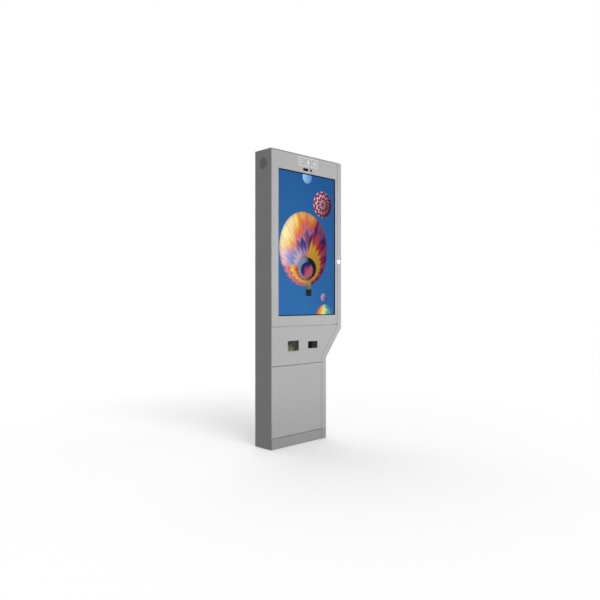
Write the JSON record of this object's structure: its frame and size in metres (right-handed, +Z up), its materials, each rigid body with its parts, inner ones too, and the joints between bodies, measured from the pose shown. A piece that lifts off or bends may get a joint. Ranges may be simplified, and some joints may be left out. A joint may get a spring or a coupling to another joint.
{
  "type": "ticket vending machine",
  "caption": "Slim free-standing ticket machine: portrait display, ticket outlet with a clear flap, contactless reader, hinged front doors and a pedestal set in on one side.",
  "frame": {"origin": "on the floor, under the middle of the cabinet's width and depth", "axes": "+Z up, front faces -Y, +X to the right seen from the front"},
  "size_m": [0.72, 0.1735, 2.08],
  "materials": {
    "silver_paint": "satin",
    "zinc_steel": "satin",
    "chrome": "polished",
    "dark_metal": "matte",
    "bare_steel": "satin",
    "black_plastic": "matte",
    "box_metal": "satin",
    "grey_plastic": "matte",
    "foam": "matte",
    "clear_glass": "polished",
    "lit_panel": "gloss",
    "smoked_window": "gloss",
    "olive_plastic": "satin",
    "clear_plastic": "gloss",
    "green_plastic": "satin",
    "white_nylon": "satin",
    "rubber": "matte",
    "brass": "satin",
    "paper": "matte"
  },
  "bodies": {
    "cabinet": {"cabinet_shell": "silver_paint", "rear_panel": "silver_paint", "base_plate": "zinc_steel", "plinth_cover": "silver_paint", "upper_rail": "zinc_steel", "middle_rail": "zinc_steel", "sill_rail": "zinc_steel", "top_pivot": "zinc_steel", "upper_pivot": "zinc_steel", "middle_pivot": "zinc_steel", "sill_pivot": "zinc_steel", "lock_barrel": "chrome", "lock_nut": "zinc_steel", "printer_chassis": "dark_metal", "feed_motor": "dark_metal", "print_head": "dark_metal", "printer_shelf": "zinc_steel", "roll_holder": "zinc_steel", "roll_spindle": "bare_steel", "speaker_grille": "dark_metal", "speaker_driver": "black_plastic", "fan_frame_1": "black_plastic", "fan_frame_2": "black_plastic", "controller_box": "box_metal", "power_supply": "box_metal", "switch_box": "grey_plastic", "cable_gland": "black_plastic"},
    "display_door": {"display_door": "silver_paint", "display_gasket": "foam", "display_glass": "clear_glass", "display_panel": "lit_panel", "panel_bar_lower": "zinc_steel", "panel_bar_upper": "zinc_steel", "display_driver_box": "box_metal", "camera_window": "smoked_window", "sensor_window": "smoked_window", "camera_module": "black_plastic", "display_door_strike": "zinc_steel"},
    "service_door": {"service_door": "silver_paint", "ticket_chute": "olive_plastic", "outlet_flap_pin": "zinc_steel", "reader_window": "smoked_window", "reader_body": "black_plastic", "service_bolt_guide": "zinc_steel"},
    "lower_door": {"lower_door": "silver_paint", "lower_bolt_guide": "zinc_steel"},
    "outlet_flap": {"outlet_flap": "clear_plastic"},
    "lock": {"lock_plug": "chrome", "lock_cam": "zinc_steel"},
    "service_bolt": {"service_door_bolt": "zinc_steel"},
    "lower_bolt": {"lower_door_bolt": "zinc_steel"},
    "platen": {"platen_gear_shaft": "white_nylon", "platen_roller": "rubber"},
    "pinion": {"motor_pinion": "brass"},
    "paper_roll": {"paper_roll": "paper"},
    "cutter": {"cutter_blade": "bare_steel"},
    "head_lever": {"head_lever": "green_plastic"},
    "fan_1": {"fan_rotor_1": "black_plastic"},
    "fan_2": {"fan_rotor_2": "black_plastic"},
    "mains_rocker": {"mains_rocker": "black_plastic"}
  },
  "joints": [
    {"name": "display_door_hinge", "type": "hinge", "parent": "cabinet", "child": "display_door", "pos_m": [-0.346, -0.079, 0.849], "axis": [0, 0, -1], "range_deg": [0, 110]},
    {"name": "service_door_hinge", "type": "hinge", "parent": "cabinet", "child": "service_door", "pos_m": [-0.346, -0.079, 0.574], "axis": [0, 0, -1], "range_deg": [0, 110]},
    {"name": "lower_door_hinge", "type": "hinge", "parent": "cabinet", "child": "lower_door", "pos_m": [-0.346, -0.079, 0.078], "axis": [0, 0, -1], "range_deg": [0, 110]},
    {"name": "outlet_flap_swing", "type": "hinge", "parent": "service_door", "child": "outlet_flap", "pos_m": [-0.1495, -0.0785, 0.7395], "axis": [1, 0, 0], "range_deg": [0, 38]},
    {"name": "lock_turn", "type": "hinge", "parent": "cabinet", "child": "lock", "pos_m": [0.331, -0.06, 1.327], "axis": [0, -1, 0], "range_deg": [0, 90]},
    {"name": "service_bolt_slide", "type": "slide", "parent": "service_door", "child": "service_bolt", "axis": [1, 0, 0], "range_m": [0, 0.024]},
    {"name": "lower_bolt_slide", "type": "slide", "parent": "lower_door", "child": "lower_bolt", "axis": [1, 0, 0], "range_m": [0, 0.024]},
    {"name": "paper_roll_turn", "type": "hinge", "parent": "cabinet", "child": "paper_roll", "pos_m": [-0.1495, 0.025, 0.835], "axis": [1, 0, 0], "continuous": true},
    {"name": "platen_turn", "type": "hinge", "parent": "cabinet", "child": "platen", "pos_m": [-0.1495, -0.0107, 0.728], "axis": [1, 0, 0], "continuous": true},
    {"name": "pinion_turn", "type": "hinge", "parent": "cabinet", "child": "pinion", "pos_m": [-0.1495, 0.0085, 0.728], "axis": [1, 0, 0], "continuous": true},
    {"name": "cutter_slide", "type": "slide", "parent": "cabinet", "child": "cutter", "axis": [0, 0, -1], "range_m": [0, 0.006]},
    {"name": "head_lever_turn", "type": "hinge", "parent": "cabinet", "child": "head_lever", "pos_m": [-0.0987, 0.0268, 0.7425], "axis": [1, 0, 0], "range_deg": [0, 60]},
    {"name": "fan_1_turn", "type": "hinge", "parent": "cabinet", "child": "fan_1", "pos_m": [-0.09, 0.0674, 1.93], "axis": [0, 1, 0], "continuous": true},
    {"name": "fan_2_turn", "type": "hinge", "parent": "cabinet", "child": "fan_2", "pos_m": [0.09, 0.0674, 1.93], "axis": [0, 1, 0], "continuous": true},
    {"name": "mains_rocker_turn", "type": "hinge", "parent": "cabinet", "child": "mains_rocker", "pos_m": [-0.085, 0.0387, 0.38], "axis": [-1, 0, 0], "range_deg": [0, 20]}
  ],
  "couplings": [
    {"joint": "paper_roll_turn", "follows": "platen_turn", "ratio": -0.14},
    {"joint": "pinion_turn", "follows": "platen_turn", "ratio": -3}
  ]
}
